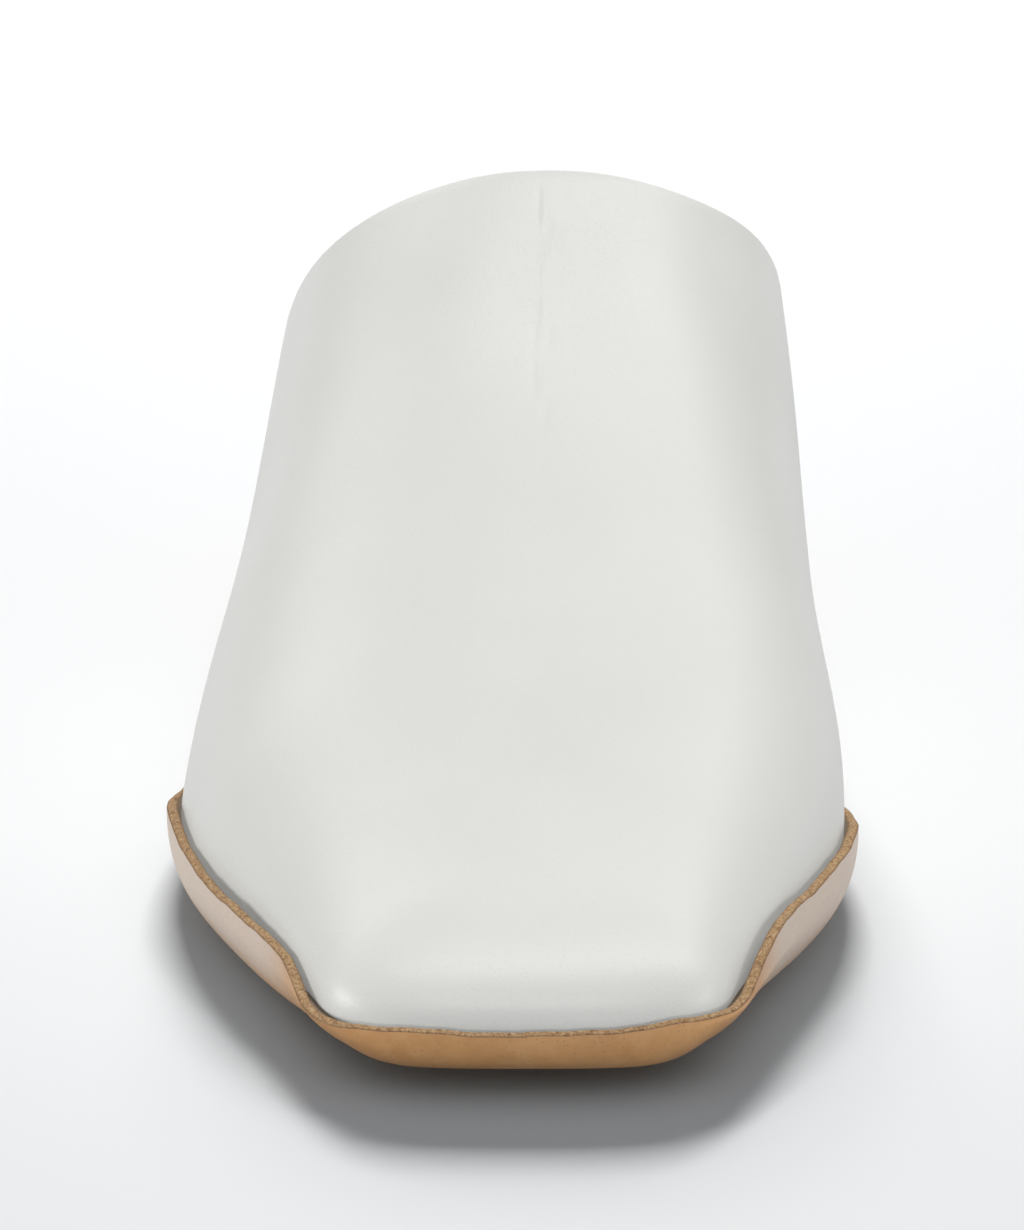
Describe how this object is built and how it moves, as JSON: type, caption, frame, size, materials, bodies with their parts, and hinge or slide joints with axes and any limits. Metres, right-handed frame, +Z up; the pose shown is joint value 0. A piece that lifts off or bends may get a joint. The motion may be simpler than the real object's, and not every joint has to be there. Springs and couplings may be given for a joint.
{
  "type": "mule shoe",
  "caption": "Closed, square-toed leather mule with a high vamp, no back, a thin sole turned up round the forefoot as a raw rim, and a low stacked heel.",
  "frame": {"origin": "on the floor, under the middle of the shoe's bounding box", "axes": "+Y from the toe to the heel, +Z up, +X to the medial side (the wearer's left)"},
  "size_m": [0.0956, 0.2552, 0.0865],
  "materials": {
    "sole_leather": "natural veg-tan, waxed",
    "upper_leather": "smooth, satin",
    "insole_leather": "plain, matte",
    "heel_leather": "stacked, burnished",
    "heel_rubber": "matte"
  },
  "bodies": {
    "root": {"outsole": "sole_leather", "upper": "upper_leather", "insole": "insole_leather", "heel": "heel_leather", "heel_top_piece": "heel_rubber"}
  },
  "joints": []
}
